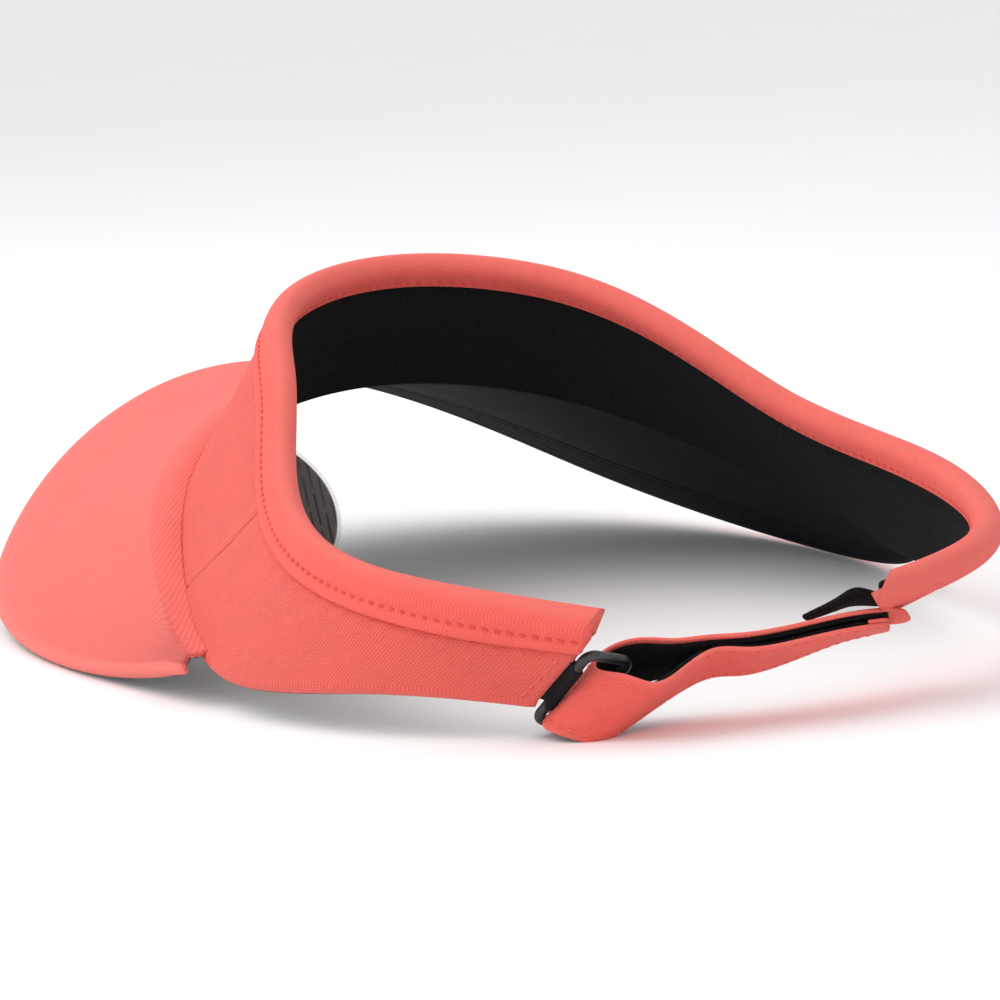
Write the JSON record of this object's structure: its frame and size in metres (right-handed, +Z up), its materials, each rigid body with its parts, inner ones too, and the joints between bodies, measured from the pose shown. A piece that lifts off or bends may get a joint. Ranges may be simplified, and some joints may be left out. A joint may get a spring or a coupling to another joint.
{
  "type": "sun visor",
  "caption": "Sports sun visor with a curved brim, padded head band, bound edge and a hook-and-loop strap that turns back through a rectangular ring.",
  "frame": {"origin": "middle of the visor's box at table level, with the visor lying on the brim's two sides and the strap loop", "axes": "+Z up, the brim points to -Y, the wearer's left (the side that carries the ring) is +X"},
  "size_m": [0.1926, 0.2702, 0.0757],
  "materials": {
    "coral_knit": "fine ribbed polyester knit, matte",
    "coral_tape": "bias cut edge binding, matte",
    "coral_strap": "fine woven strap cloth, matte",
    "black_mesh": "knitted sweatband mesh",
    "slate_cloth": "smooth woven under cover with sewn rows",
    "black_pile": "hook-and-loop pile",
    "black_tape": "narrow woven tape",
    "foam": "thin padding between cloths",
    "brim_plastic": "flexible sheet plastic",
    "dark_ring": "dark satin coating on round wire",
    "clear_film": "clear adhesive film"
  },
  "bodies": {
    "band": {"front_panel": "coral_knit", "left_side_panel": "coral_knit", "right_side_panel": "coral_knit", "front_stiffener": "foam", "left_padding": "foam", "right_padding": "foam", "sweatband": "black_mesh", "edge_binding": "coral_tape", "brim_board": "brim_plastic", "brim_top_cover": "coral_knit", "brim_under_cover": "slate_cloth", "size_label": "clear_film", "ring_keeper": "black_tape", "strap_cloth": "coral_strap", "strap_loop_pile": "black_pile", "comfort_tongue": "black_mesh"},
    "ring": {"buckle_ring": "dark_ring"},
    "tab": {"closure_tab": "coral_strap", "tab_hook_tape": "black_pile", "tab_tip_hem": "coral_strap"}
  },
  "joints": [
    {"name": "ring_pivot", "type": "hinge", "parent": "band", "child": "ring", "pos_m": [0.04472, 0.11609, 0.00975], "axis": [-0.2799, 0.6506, 0.706], "range_deg": [-8, 8]},
    {"name": "tab_peel", "type": "hinge", "parent": "band", "child": "tab", "pos_m": [0.01899, 0.12291, 0.01095], "axis": [-0.2194, -0.8138, -0.5381], "range_deg": [0, 85]}
  ]
}
